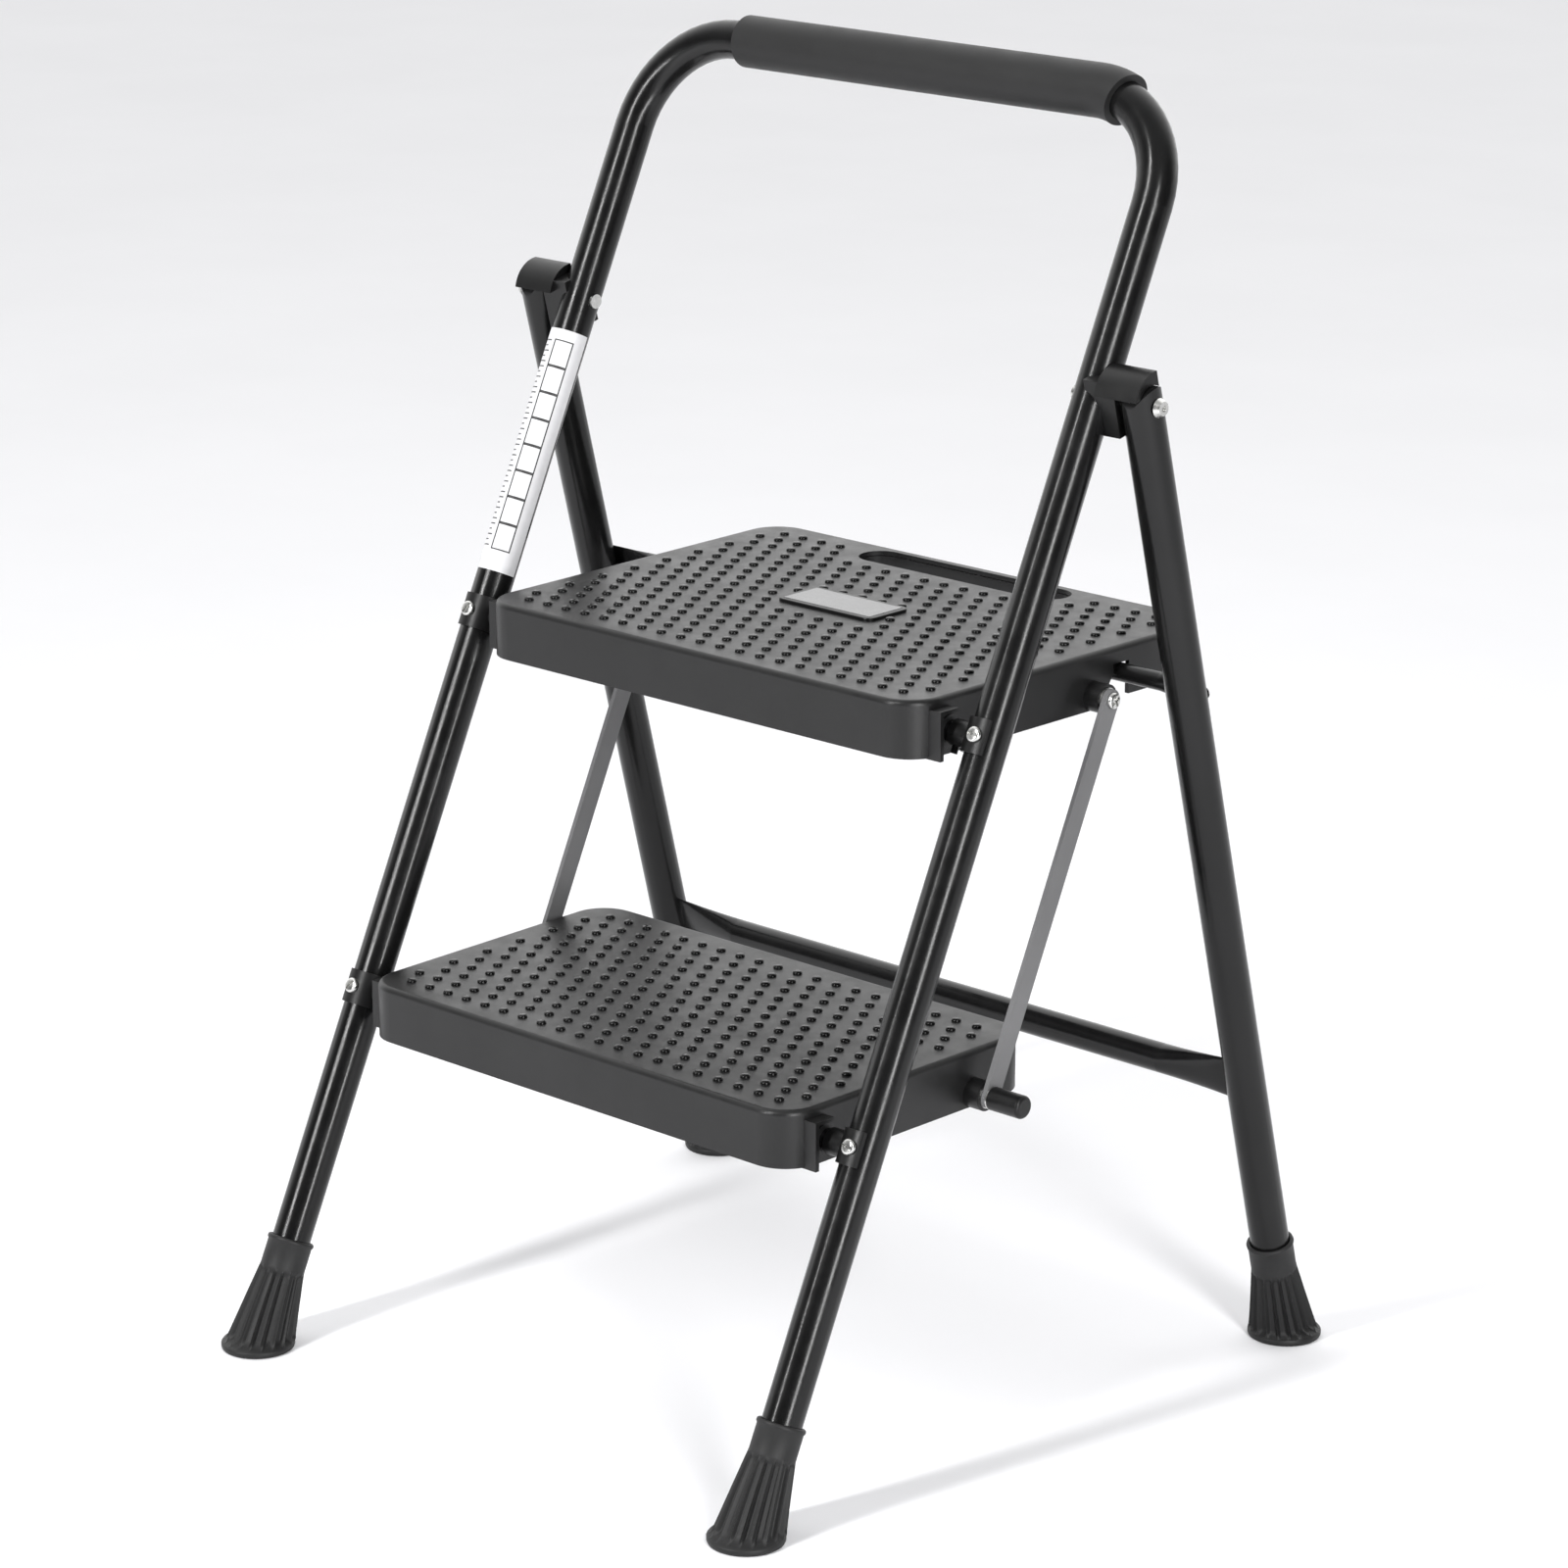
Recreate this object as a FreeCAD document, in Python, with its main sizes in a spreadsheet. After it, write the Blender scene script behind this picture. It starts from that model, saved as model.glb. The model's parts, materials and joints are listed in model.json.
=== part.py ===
import FreeCAD, Part
import Sketcher
import os
import re

# Folding two-step stepladder with a handrail, in millimetres.
# +Z is up, +Y is to the back, X = 0 is the middle, Z = 0 is the floor, and Y = 0 is
# half way between the front and the rear feet.

doc = FreeCAD.newDocument("FoldingSteps")
sheet = doc.addObject("Spreadsheet::Sheet", "Sizes")

SIZES = [
    # the frame as it stands
    ("foot_depth", 473.0, "front foot centre to rear foot centre"),
    ("front_lean", 25.3, "front legs from upright, degrees"),
    ("hinge_height", 648.2, "hinge bolt above the floor"),
    ("rail_height", 816.7, "top rail's centre above the floor"),
    ("front_spread", 438.0, "between the front leg centres"),
    ("rear_offset", 37.5, "rear leg centre outboard of the front leg centre"),
    ("rail_bend", 66.0, "bend radius of the top corners"),
    ("tube_diameter", 25.4, "frame tubes, outside"),
    ("tube_wall", 1.5, "frame tubes, wall"),
    ("lower_pivot_height", 219.0, "lower step's axle above the floor"),
    ("upper_pivot_height", 451.7, "top step's axle above the floor"),
    # grip
    ("grip_diameter", 34.0, "grip sleeve, outside"),
    ("grip_left_reach", 142.0, "grip's left end from the middle"),
    ("grip_wrap", 20.0, "how far the grip follows the right bend, degrees"),
    # boots
    ("boot_lip_diameter", 48.0, "boot where it stands"),
    ("boot_lip_height", 6.0, "plain lip at the boot's foot"),
    ("boot_collar_diameter", 29.5, "smooth collar of the boot"),
    ("boot_flare_length", 52.0, "floor to the collar, along the leg"),
    ("boot_length", 74.0, "floor to the collar's top, along the leg"),
    ("boot_bead", 1.4, "radius of the bead round the collar's top"),
    ("boot_sole", 14.0, "rubber under the tube's end, along the leg"),
    ("boot_lip_step", 0.4, "flare's foot inside the lip's edge"),
    # hinges
    ("bolt_diameter", 8.0, "hinge bolt"),
    ("bolt_head_diameter", 12.0, "hinge bolt's head"),
    ("bolt_head_height", 3.6, "hinge bolt's head"),
    ("bolt_head_bevel", 1.6, "hinge bolt's head, edge to its flat top"),
    ("bolt_dimple_depth", 1.2, "dimple in the hinge bolt's head"),
    ("bolt_dimple_diameter", 4.0, "dimple in the hinge bolt's head"),
    ("nut_width", 9.5, "hinge nut's round body"),
    ("nut_height", 1.5, "hinge nut"),
    ("hood_radius", 20.5, "bracket hood, outside"),
    ("hood_past_leg", 8.0, "hood's outer end past the rear leg's centre"),
    ("hood_wall", 3.0, "bracket hood, wall"),
    ("hood_shift", 4.5, "hood's centre behind the bolt"),
    ("hood_back", 4.0, "how far the hood reaches behind its centre"),
    ("hood_floor", 8.0, "hood's lower edge above the bolt"),
    ("block_front", 9.5, "bracket block in front of the bolt"),
    ("block_back", 13.0, "bracket block behind the bolt"),
    ("block_drop", 20.5, "bracket block below the bolt"),
    ("block_rise", 15.0, "bracket block above the bolt"),
    ("saddle_lap", 2.0, "bracket starts this far outboard of the leg's centre"),
    # crossbars
    ("upper_bar_diameter", 12.0, "rear upper crossbar"),
    ("upper_bar_drop", 201.8, "below the hinge, along the rear leg"),
    ("upper_bar_setback", 17.05, "behind the rear leg's centre line"),
    ("lower_bar_diameter", 19.5, "rear lower crossbar"),
    ("lower_bar_drop", 476.0, "below the hinge, along the rear leg"),
    ("tab_run", 17.0, "upper crossbar pressed flat over this length"),
    ("tab_past_leg", 3.0, "tab's end past the rear leg's centre"),
    ("tab_height", 17.0, "flattened end of the upper crossbar"),
    ("tab_thickness", 3.8, "flattened end of the upper crossbar"),
    ("tab_bite", 0.5, "tab formed round the leg's back by this much"),
    ("flare_run", 52.0, "lower crossbar pressed flat over this length"),
    ("flare_height", 29.0, "flattened end of the lower crossbar"),
    ("flare_thickness", 5.0, "flattened end of the lower crossbar"),
    ("rivet_diameter", 5.0, "rivet of the upper crossbar"),
    ("rivet_head_diameter", 9.0, "rivet of the upper crossbar"),
    ("rivet_top_diameter", 4.5, "flat top of the rivet's head"),
    ("rivet_head_height", 2.5, "rivet of the upper crossbar"),
    ("rivet_past_wall", 1.0, "rivet past the leg's wall, inside"),
    # step pivots
    ("axle_diameter", 14.0, "pivot axle"),
    ("axle_wall", 1.5, "pivot axle"),
    ("axle_overlap", 7.0, "axle past the leg's centre line"),
    ("collar_diameter", 17.0, "saddle's collar round the axle"),
    ("collar_reach", 26.5, "collar's inner end from the leg's centre"),
    ("collar_rim", 3.0, "peg's centre from the collar's inner end"),
    ("peg_diameter", 4.5, "locating peg under the upper collars"),
    ("peg_drop", 12.9, "locating peg's tip below the axle"),
    ("saddle_height", 22.0, "saddle along the leg"),
    ("saddle_wall", 2.4, "saddle round the leg"),
    ("saddle_past_front", 7.0, "saddle past the leg's front, outboard"),
    ("saddle_past_side", 6.0, "saddle past the leg's side, to the back"),
    ("screw_diameter", 4.5, "pivot screw"),
    ("screw_head_diameter", 10.0, "pivot screw's pan head"),
    ("screw_head_height", 3.0, "pivot screw's pan head"),
    ("screw_head_bevel", 1.3, "pivot screw's head, edge to its flat top"),
    ("screw_past_centre", 8.0, "screw's tip behind the leg's centre"),
    # steps
    ("step_inset", 32.0, "front leg's centre to the step's side, at its front edge"),
    ("step_taper", 4.0, "widening of each side up to the top step's back edge"),
    ("step_front_reach", 33.5, "step's front face ahead of its axle"),
    ("top_step_reach", 250.0, "top step's back face behind its axle"),
    ("lower_step_reach", 188.5, "lower step's back face behind its axle"),
    ("tread_rise", 22.5, "tread's top above the axle"),
    ("skirt_depth", 36.7, "tread's top to the skirt's bottom"),
    ("step_corner", 25.0, "step's corner radius seen from above"),
    ("step_edge", 3.5, "rounding of the tread's edge"),
    ("step_wall", 3.0, "moulding's wall"),
    ("rib_thickness", 2.2, "ribs under the tread"),
    ("rib_depth", 5.5, "ribs under the tread"),
    ("hub_diameter", 21.0, "hub round the axle"),
    ("hub_length", 42.0, "hub round the axle, along it"),
    ("hub_stand_out", 1.0, "hub past the skirt's face"),
    ("ear_inset", 23.5, "front leg's centre to the ear's end"),
    ("ear_front", 17.5, "ear's face ahead of the axle"),
    ("ear_depth", 16.5, "ear's roof, front to back"),
    ("ear_lip", 3.0, "ear's thickened edge"),
    ("ear_drop", 14.8, "ear below the axle"),
    ("ear_top_gap", 6.2, "ear's roof below the tread's top"),
    ("slot_width", 176.0, "hand slot"),
    ("slot_height", 30.0, "hand slot"),
    ("slot_from_back", 8.0, "hand slot's back edge to the step's back face"),
    ("slot_rim_depth", 12.0, "rim round the hand slot"),
    ("badge_width", 82.0, "badge plate"),
    ("badge_depth", 39.0, "badge plate"),
    ("badge_height", 2.0, "badge plate"),
    ("badge_corner", 6.0, "badge plate's corner radius"),
    ("badge_shift", -4.0, "badge's centre from the middle"),
    ("badge_from_axle", 113.5, "badge's centre behind the axle"),
    ("hook_rise", 4.0, "hook's tip above the skirt's bottom"),
    ("hook_gap", 1.5, "crossbar to the hook notch's sides"),
    ("seat_gap", 0.3, "crossbar to the hook notch's top"),
    ("hook_relief", 34.0, "slope of the notch's front side, degrees"),
    # links
    ("link_reach", 133.0, "link pivot behind the step's axle"),
    ("link_drop", 5.0, "link pivot below the step's axle"),
    ("link_width", 14.0, "link bar"),
    ("link_thickness", 3.0, "link bar"),
    ("left_link_inset", 26.5, "front leg's centre to the left link bar's inner face"),
    ("right_link_inset", 17.0, "front leg's centre to the right link bar's inner face"),
    ("link_gap", 0.3, "link bar to its neighbours"),
    ("link_boss_diameter", 19.0, "boss that carries the link"),
    ("link_washer_diameter", 15.0, "washer at the link"),
    ("link_washer_thickness", 1.0, "washer at the link"),
    ("link_screw_diameter", 5.0, "link screw"),
    ("link_head_diameter", 10.5, "link screw's pan head"),
    ("link_head_height", 2.8, "link screw's pan head"),
    ("link_screw_length", 15.0, "link screw under its head"),
    ("rod_diameter", 8.0, "lower step's rear rod"),
    ("rod_bury", 3.0, "rod's end short of the cap's end"),
    ("cap_diameter", 15.0, "rod's end cap"),
    ("cap_past_leg", 12.5, "cap's end outboard of the front leg's centre"),
    ("cap_round", 2.5, "rounding of the cap's end"),
    # label
    ("label_start", 528.0, "label's lower edge, along the leg"),
    ("label_end", 693.0, "label's upper edge, along the leg"),
    ("label_thickness", 0.3, "label"),
    ("label_outer_turn", 60.0, "label past the leg's front, outboard, degrees"),
    ("label_inner_turn", 107.0, "label past the leg's front, inboard, degrees"),
    # clearances
    ("running_gap", 0.05, "radial clearance of a turning fit"),
    ("hole_gap", 0.1, "radial clearance of a bolt or screw hole"),
    ("open_pivot_gap", 0.25, "radial clearance at the link's lower end"),
    ("side_gap", 0.4, "between faces that turn past each other"),
    ("cut_past", 1.0, "how far a cutting shape runs past what it cuts"),
]
NAMES = [alias for alias, size, note in SIZES]

for row, (alias, size, note) in enumerate(SIZES, start=1):
    sheet.set("A%d" % row, alias)
    sheet.set("B%d" % row, str(size))
    sheet.set("C%d" % row, note)
    sheet.setAlias("B%d" % row, alias)
doc.recompute()

# Sizes that follow from the sheet's.
FOLLOWING = {
    "rear_spread": "(front_spread + 2 * rear_offset)",
    "step_front_width": "(front_spread - 2 * step_inset)",
    "step_rear_width": "(front_spread - 2 * step_inset + 2 * step_taper)",
    "ear_end": "(front_spread / 2 - ear_inset)",
    "left_link_plane": "(front_spread / 2 - left_link_inset)",
    "right_link_plane": "(front_spread / 2 - right_link_inset)",
    "cap_end": "(front_spread / 2 + cap_past_leg)",
}

# Formulas that several pieces share.
FRONT_X = "front_spread / 2"
REAR_X = "rear_spread / 2"
TUBE_R = "tube_diameter / 2"
HINGE_ALONG = "hinge_height / cos(front_lean)"
UPPER_ALONG = "upper_pivot_height / cos(front_lean)"
LOWER_ALONG = "lower_pivot_height / cos(front_lean)"
RAIL_ALONG = "rail_height / cos(front_lean)"
REAR_RUN = "(foot_depth - hinge_height * tan(front_lean))"
FRONT_LEAN = "(front_lean * 1 deg)"
REAR_LEAN = "atan(%s / hinge_height)" % REAR_RUN
REAR_LENGTH = "sqrt(hinge_height ^ 2 + %s ^ 2)" % REAR_RUN
HALF_DEPTH = "foot_depth / 2"
LINK_LENGTH = "(upper_pivot_height - lower_pivot_height) / cos(front_lean)"
SKIRT_BOTTOM = "tread_rise - skirt_depth"

SIDES = (("left", -1), ("right", 1))
CROSS_RIBS = 3
LONG_RIBS = 5
nodes = []


def formula(text):
    """A formula of named sizes, written the way an expression wants it."""
    def cell(match):
        word = match.group()
        if word in FOLLOWING:
            return formula(FOLLOWING[word])
        return "Sizes." + word if word in NAMES else word
    return re.sub(r"[a-z][a-z0-9_]*", cell, str(text))


def bind(thing, **sizes):
    for name, text in sizes.items():
        thing.setExpression(name, formula(text))
    return thing


def place(thing, x="0", y="0", z="0", axis=None, angle=None):
    """Puts a thing at x, y, z, turned by angle about axis."""
    if axis:
        thing.Placement = FreeCAD.Placement(FreeCAD.Vector(), FreeCAD.Rotation(FreeCAD.Vector(*axis), 1))
        thing.setExpression("Placement.Rotation.Angle", formula(angle))
    thing.setExpression("Placement.Base.x", formula(x))
    thing.setExpression("Placement.Base.y", formula(y))
    thing.setExpression("Placement.Base.z", formula(z))
    return thing


ALONG_X = dict(axis=(0, 1, 0), angle="90")
ALONG_Y = dict(axis=(1, 0, 0), angle="-90")


def rod(name, radius, length, x="0", y="0", z="0", **turn):
    """A cylinder that starts at x, y, z and runs along Z, or along X or Y when turned."""
    piece = doc.addObject("Part::Cylinder", name)
    bind(piece, Radius=radius, Height=length)
    return place(piece, x, y, z, **turn)


def cone(name, base, top, length, x="0", y="0", z="0", **turn):
    piece = doc.addObject("Part::Cone", name)
    bind(piece, Radius1=base, Radius2=top, Height=length)
    return place(piece, x, y, z, **turn)


def box(name, width, depth, height, x="0", y="0", z="0", **turn):
    """A box whose corner with the lowest x, y, z is at x, y, z."""
    piece = doc.addObject("Part::Box", name)
    bind(piece, Length=width, Width=depth, Height=height)
    return place(piece, x, y, z, **turn)


def join(name, pieces):
    piece = doc.addObject("Part::MultiFuse", name)
    piece.Shapes = pieces
    piece.Refine = True
    return piece


def cut(name, base, tools):
    piece = doc.addObject("Part::Cut", name)
    piece.Base = base
    piece.Tool = tools[0] if len(tools) == 1 else join(name + "_cuts", tools)
    piece.Refine = True
    return piece


def overlap(name, pieces):
    piece = doc.addObject("Part::MultiCommon", name)
    piece.Shapes = pieces
    return piece


def group(name, pieces):
    """Separate solids that share one node."""
    piece = doc.addObject("Part::Compound", name)
    piece.Links = pieces
    return piece


# Frames of reference: each finished piece is modelled upright and placed by one of these.
def on_front_frame(piece):
    return place(piece, y="-" + HALF_DEPTH, axis=(1, 0, 0), angle="-front_lean")


def on_rear_frame(piece):
    return place(piece, y="hinge_height * tan(front_lean) - " + HALF_DEPTH, z="hinge_height",
                 axis=(1, 0, 0), angle=REAR_LEAN)


def on_axle(piece, height):
    return place(piece, y="%s * tan(front_lean) - %s" % (height, HALF_DEPTH), z=height)


def on_link(piece):
    return place(piece, y="upper_pivot_height * tan(front_lean) - %s + link_reach" % HALF_DEPTH,
                 z="upper_pivot_height - link_drop", axis=(1, 0, 0), angle="-front_lean")


def node(piece, name):
    piece.Label = name
    nodes.append(piece)
    return piece


def both(side, text):
    """A formula for the right side, or its opposite for the left."""
    return text if side > 0 else "-(%s)" % text


def from_x(side, near, far):
    """Start and length of a piece that lies between two distances from the middle."""
    start = near if side > 0 else "-(%s)" % far
    return start, "(%s) - (%s)" % (far, near)


# Front frame: one tube bent to a U.
def bent_tube(name, radius):
    """The path of the front tube, filled to a radius."""
    parts = []
    straight = RAIL_ALONG + " - rail_bend"
    corner_x = FRONT_X + " - rail_bend"
    for label, side in SIDES:
        parts.append(rod(name + "_leg_" + label, radius, straight + " - boot_sole",
                         x=both(side, FRONT_X), z="boot_sole"))
        bend = doc.addObject("Part::Torus", name + "_bend_" + label)
        bind(bend, Radius1="rail_bend", Radius2=radius, Angle3="90")
        turn = FreeCAD.Rotation(FreeCAD.Vector(1, 0, 0), 90)
        if side < 0:
            turn = FreeCAD.Rotation(FreeCAD.Vector(0, 0, 1), 180).multiply(turn)
        bend.Placement = FreeCAD.Placement(FreeCAD.Vector(), turn)
        bend.setExpression("Placement.Base.x", formula(both(side, corner_x)))
        bend.setExpression("Placement.Base.z", formula(straight))
        parts.append(bend)
    parts.append(rod(name + "_rail", radius, "front_spread - 2 * rail_bend",
                     x="-(%s)" % corner_x, z=RAIL_ALONG, **ALONG_X))
    return join(name, parts)


def front_tube():
    cuts = [bent_tube("front_bore", TUBE_R + " - tube_wall")]
    for label, side in SIDES:
        cuts.append(rod("front_open_end_" + label, TUBE_R + " - tube_wall", "boot_sole",
                        x=both(side, FRONT_X), z="boot_sole / 2"))
    cuts.append(rod("front_bolt_holes", "bolt_diameter / 2 + hole_gap", "rear_spread",
                    x="-" + REAR_X, z=HINGE_ALONG, **ALONG_X))
    for level, along in (("upper", UPPER_ALONG), ("lower", LOWER_ALONG)):
        cuts.append(rod("front_axle_holes_" + level, "axle_diameter / 2 + hole_gap",
                        "front_spread + 2 * axle_overlap", x="-(%s + axle_overlap)" % FRONT_X,
                        z=along, **ALONG_X))
        for label, side in SIDES:
            cuts.append(rod("front_screw_hole_%s_%s" % (level, label),
                            "screw_diameter / 2 + hole_gap", TUBE_R, x=both(side, FRONT_X),
                            y="-(%s + cut_past)" % TUBE_R, z=along, **ALONG_Y))
    tube = cut("front_tube", bent_tube("front_outside", TUBE_R), cuts)
    node(on_front_frame(tube), "front_tube_frame")


def grip():
    """The sleeve runs along the rail and a little way into the right-hand bend."""
    def sleeve(name, radius):
        corner_x = FRONT_X + " - rail_bend"
        straight = rod(name + "_straight", radius, corner_x + " + grip_left_reach",
                       x="-grip_left_reach", z=RAIL_ALONG, **ALONG_X)
        bend = doc.addObject("Part::Torus", name + "_bend")
        bind(bend, Radius1="rail_bend", Radius2=radius, Angle3="grip_wrap")
        bend.Placement = FreeCAD.Placement(FreeCAD.Vector(), FreeCAD.Rotation(FreeCAD.Vector(1, 0, 0), 90))
        turned = group(name + "_turned", [bend])
        place(turned, x=corner_x, z=RAIL_ALONG + " - rail_bend", axis=(0, 1, 0),
              angle="-(90 - grip_wrap)")
        return join(name, [straight, turned])
    body = cut("grip", sleeve("grip_outside", "grip_diameter / 2"), [sleeve("grip_inside", TUBE_R)])
    node(on_front_frame(body), "handle_grip")


def boot(name, x, y, lean):
    """A rubber boot that stands flat while its socket leans with the leg."""
    lip = rod(name + "_lip", "boot_lip_diameter / 2", "boot_lip_height")
    foot = doc.addObject("Part::Circle", name + "_flare_foot")
    bind(foot, Radius="boot_lip_diameter / 2 - boot_lip_step")
    place(foot, z="boot_lip_height")
    top = doc.addObject("Part::Circle", name + "_flare_top")
    bind(top, Radius="boot_collar_diameter / 2")
    place(top, y="-boot_flare_length * sin(%s)" % lean, z="boot_flare_length * cos(%s)" % lean,
          axis=(1, 0, 0), angle=lean)
    flare = doc.addObject("Part::Loft", name + "_flare")
    flare.Sections = [foot, top]
    flare.Solid = True
    collar = rod(name + "_collar", "boot_collar_diameter / 2", "boot_length - boot_flare_length",
                 y="-boot_flare_length * sin(%s)" % lean, z="boot_flare_length * cos(%s)" % lean,
                 axis=(1, 0, 0), angle=lean)
    bead = doc.addObject("Part::Torus", name + "_bead")
    bind(bead, Radius1="boot_collar_diameter / 2 - boot_bead / 2", Radius2="boot_bead")
    place(bead, y="-(boot_length - boot_bead) * sin(%s)" % lean,
          z="(boot_length - boot_bead) * cos(%s)" % lean, axis=(1, 0, 0), angle=lean)
    socket = rod(name + "_socket", TUBE_R, "boot_length",
                 y="-boot_sole * sin(%s)" % lean, z="boot_sole * cos(%s)" % lean,
                 axis=(1, 0, 0), angle=lean)
    body = cut(name + "_body", join(name + "_outside", [lip, flare, collar, bead]), [socket])
    node(place(body, x=x, y=y), name)


# Hinges.
def hinge_bracket(label, side):
    """Block between the two legs with a hood over the rear leg's top."""
    name = "bracket_" + label
    inner = FRONT_X + " + saddle_lap"
    outer = "%s - %s - side_gap" % (REAR_X, TUBE_R)
    start, length = from_x(side, inner, outer)
    block = box(name + "_block", length, "block_front + block_back", "block_drop + block_rise",
                x=start, y="-block_front", z="-block_drop")
    hood_inner = FRONT_X + " + " + TUBE_R
    hood_outer = REAR_X + " + hood_past_leg"
    start, length = from_x(side, hood_inner, hood_outer)
    shell = rod(name + "_shell", "hood_radius", length, x=start, y="hood_shift", **ALONG_X)
    quarter = box(name + "_quarter", length, "hood_radius + hood_back", "hood_radius",
                  x=start, y="hood_shift - hood_radius", z="hood_floor")
    hood = overlap(name + "_hood", [shell, quarter])
    start, length = from_x(side, outer, hood_outer + " - hood_wall")
    inside = rod(name + "_inside", "hood_radius - hood_wall", length, x=start, y="hood_shift",
                 **ALONG_X)
    start, length = from_x(side, outer, hood_outer + " + cut_past")
    mouth = rod(name + "_mouth", TUBE_R + " + side_gap", length, x=start, **ALONG_X)
    start, length = from_x(side, FRONT_X, REAR_X)
    hole = rod(name + "_hole", "bolt_diameter / 2 + hole_gap", length, x=start, **ALONG_X)
    leg = rod(name + "_leg", TUBE_R, "4 * (block_drop + block_rise)", z="-2 * (block_drop + block_rise)")
    tilted_leg = group(name + "_tilted_leg", [leg])
    place(tilted_leg, x=both(side, FRONT_X), axis=(1, 0, 0), angle="-(%s + %s)" % (FRONT_LEAN, REAR_LEAN))
    body = cut(name, join(name + "_outside", [block, hood]), [inside, mouth, hole, tilted_leg])
    node(on_rear_frame(body), "hinge_bracket_" + label)


def hinge_fasteners():
    bolts = []
    nuts = []
    for label, side in SIDES:
        tip = FRONT_X + " - " + TUBE_R + " - nut_height"
        seat = REAR_X + " + " + TUBE_R + " + side_gap"
        head_top = seat + " + bolt_head_height"
        start, length = from_x(side, tip, seat)
        shank = rod("bolt_shank_" + label, "bolt_diameter / 2", length, x=start, **ALONG_X)
        start, length = from_x(side, seat, head_top)
        narrow = "bolt_head_diameter / 2 - bolt_head_bevel"
        wide = "bolt_head_diameter / 2"
        head = cone("bolt_head_" + label, wide if side > 0 else narrow,
                    narrow if side > 0 else wide, length, x=start, **ALONG_X)
        start, length = from_x(side, head_top + " - bolt_dimple_depth", head_top)
        dimple = rod("bolt_dimple_" + label, "bolt_dimple_diameter / 2", length, x=start, **ALONG_X)
        bolts.append(cut("bolt_" + label, join("bolt_blank_" + label, [shank, head]), [dimple]))
        start, length = from_x(side, FRONT_X + " - " + TUBE_R + " - nut_height",
                               FRONT_X + " - " + TUBE_R)
        body = rod("nut_body_" + label, "nut_width / 2", length, x=start, **ALONG_X)
        bore = rod("nut_bore_" + label, "bolt_diameter / 2", length, x=start, **ALONG_X)
        nuts.append(cut("nut_" + label, body, [bore]))
    node(on_rear_frame(group("bolt_group", bolts)), "hinge_bolts")
    node(on_rear_frame(group("nut_group", nuts)), "hinge_nuts")


# Step pivots.
def pivot_axle(level, along):
    name = level + "_axle"
    half = FRONT_X + " + axle_overlap"
    outside = rod(name + "_outside", "axle_diameter / 2", "2 * (%s)" % half,
                  x="-(%s)" % half, z=along, **ALONG_X)
    cuts = [rod(name + "_bore", "axle_diameter / 2 - axle_wall", "2 * (%s)" % half,
                x="-(%s)" % half, z=along, **ALONG_X)]
    for label, side in SIDES:
        cuts.append(rod("%s_screw_hole_%s" % (name, label), "screw_diameter / 2 + hole_gap",
                        "2 * axle_diameter", x=both(side, FRONT_X), y="-axle_diameter", z=along,
                        **ALONG_Y))
    body = cut(name + "_body", outside, cuts)
    node(on_front_frame(body), level + "_pivot_axle")


def pivot_saddle(level, along, label, side):
    """A collar round the axle, and a saddle round the leg's front and inner side."""
    name = "%s_saddle_%s" % (level, label)
    outer_r = TUBE_R + " + saddle_wall"
    wrap = rod(name + "_wrap", outer_r, "saddle_height", x=both(side, FRONT_X),
               z=along + " - saddle_height / 2")
    start, length = from_x(side, "%s - (%s) - cut_past" % (FRONT_X, outer_r),
                           FRONT_X + " + saddle_past_front")
    keep = box(name + "_keep", length, "%s + saddle_past_side + cut_past" % outer_r, "saddle_height",
               x=start, y="-(%s) - cut_past" % outer_r, z=along + " - saddle_height / 2")
    shell = overlap(name + "_shell", [wrap, keep])
    start, length = from_x(side, FRONT_X + " - collar_reach", FRONT_X)
    collar = rod(name + "_collar", "collar_diameter / 2", length, x=start, z=along, **ALONG_X)
    pieces = [shell, collar]
    if level == "upper":
        pieces.append(rod(name + "_peg", "peg_diameter / 2", "peg_drop",
                          x=both(side, FRONT_X + " - collar_reach + collar_rim"),
                          z=along + " - peg_drop"))
    bore = rod(name + "_bore", "axle_diameter / 2", length, x=start, z=along, **ALONG_X)
    leg = rod(name + "_leg", TUBE_R, "2 * saddle_height", x=both(side, FRONT_X),
              z=along + " - saddle_height")
    hole = rod(name + "_hole", "screw_diameter / 2 + hole_gap", "tube_diameter",
               x=both(side, FRONT_X), y="-tube_diameter", z=along, **ALONG_Y)
    body = cut(name, join(name + "_outside", pieces), [bore, leg, hole])
    node(on_front_frame(body), "%s_pivot_saddle_%s" % (level, label))


def pivot_screws():
    screws = []
    for level, along in (("upper", UPPER_ALONG), ("lower", LOWER_ALONG)):
        for label, side in SIDES:
            name = "screw_%s_%s" % (level, label)
            seat = TUBE_R + " + saddle_wall"
            shank = rod(name + "_shank", "screw_diameter / 2", seat + " + screw_past_centre",
                        x=both(side, FRONT_X), y="-(%s)" % seat, z=along, **ALONG_Y)
            head = cone(name + "_head", "screw_head_diameter / 2 - screw_head_bevel",
                        "screw_head_diameter / 2", "screw_head_height", x=both(side, FRONT_X),
                        y="-(%s + screw_head_height)" % seat, z=along, **ALONG_Y)
            screws.append(join(name, [shank, head]))
    node(on_front_frame(group("screw_group", screws)), "pivot_screws")


def leg_label():
    """A plain label wrapped round the left front leg."""
    x = both(-1, FRONT_X)
    wrap = rod("label_wrap", TUBE_R + " + label_thickness", "label_end - label_start",
               x=x, z="label_start")
    bind(wrap, Angle="label_outer_turn + label_inner_turn")
    inside = rod("label_inside", TUBE_R, "label_end - label_start", z="label_start", x=x)
    place(wrap, x=x, z="label_start", axis=(0, 0, 1), angle="-90 - label_outer_turn")
    node(on_front_frame(cut("label", wrap, [inside])), "leg_label")


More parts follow.
